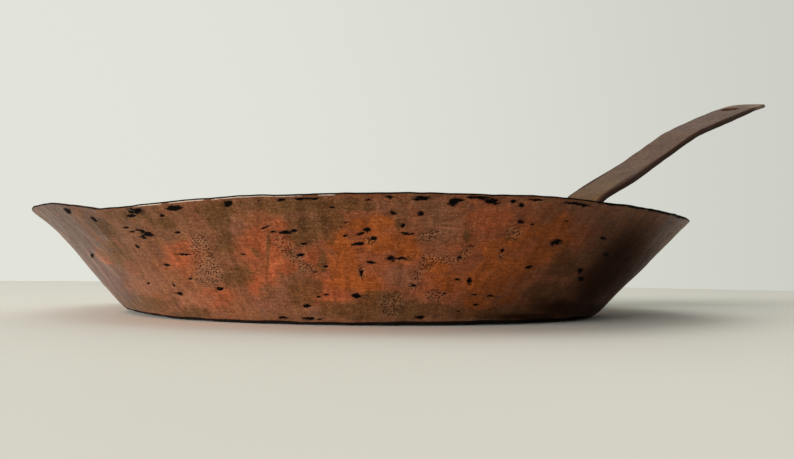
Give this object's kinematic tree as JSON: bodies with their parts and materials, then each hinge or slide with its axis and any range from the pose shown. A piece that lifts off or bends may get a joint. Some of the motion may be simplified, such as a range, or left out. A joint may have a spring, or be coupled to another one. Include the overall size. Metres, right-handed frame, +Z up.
{
  "type": "copper frying pan",
  "caption": "Shallow hand-raised copper frying pan with a flared wall, a pouring lip, a wiped tin lining and a riveted strap handle that rises to a hanging hole.",
  "frame": {"origin": "middle of the flat underside of the base, on the surface that the pan stands on", "axes": "+Z up out of the open pan, +X from the middle of the pan along the handle to its tip, +Y to the left of the handle seen from above"},
  "size_m": [0.5173, 0.2798, 0.1513],
  "materials": {
    "worn_copper": "hammered copper, worn and patinated brown with bare orange patches and black oxide pits",
    "wiped_tin": "hand-wiped tin, dull grey with wipe marks and wear",
    "handle_copper": "forged copper with an even brown patina",
    "rivet_copper": "hammered copper rivet heads, brown"
  },
  "bodies": {
    "root": {"pan_body": "worn_copper", "tin_lining": "wiped_tin", "handle": "handle_copper", "rivet_upper_left": "rivet_copper", "rivet_upper_right": "rivet_copper", "rivet_lower": "rivet_copper"}
  },
  "joints": []
}
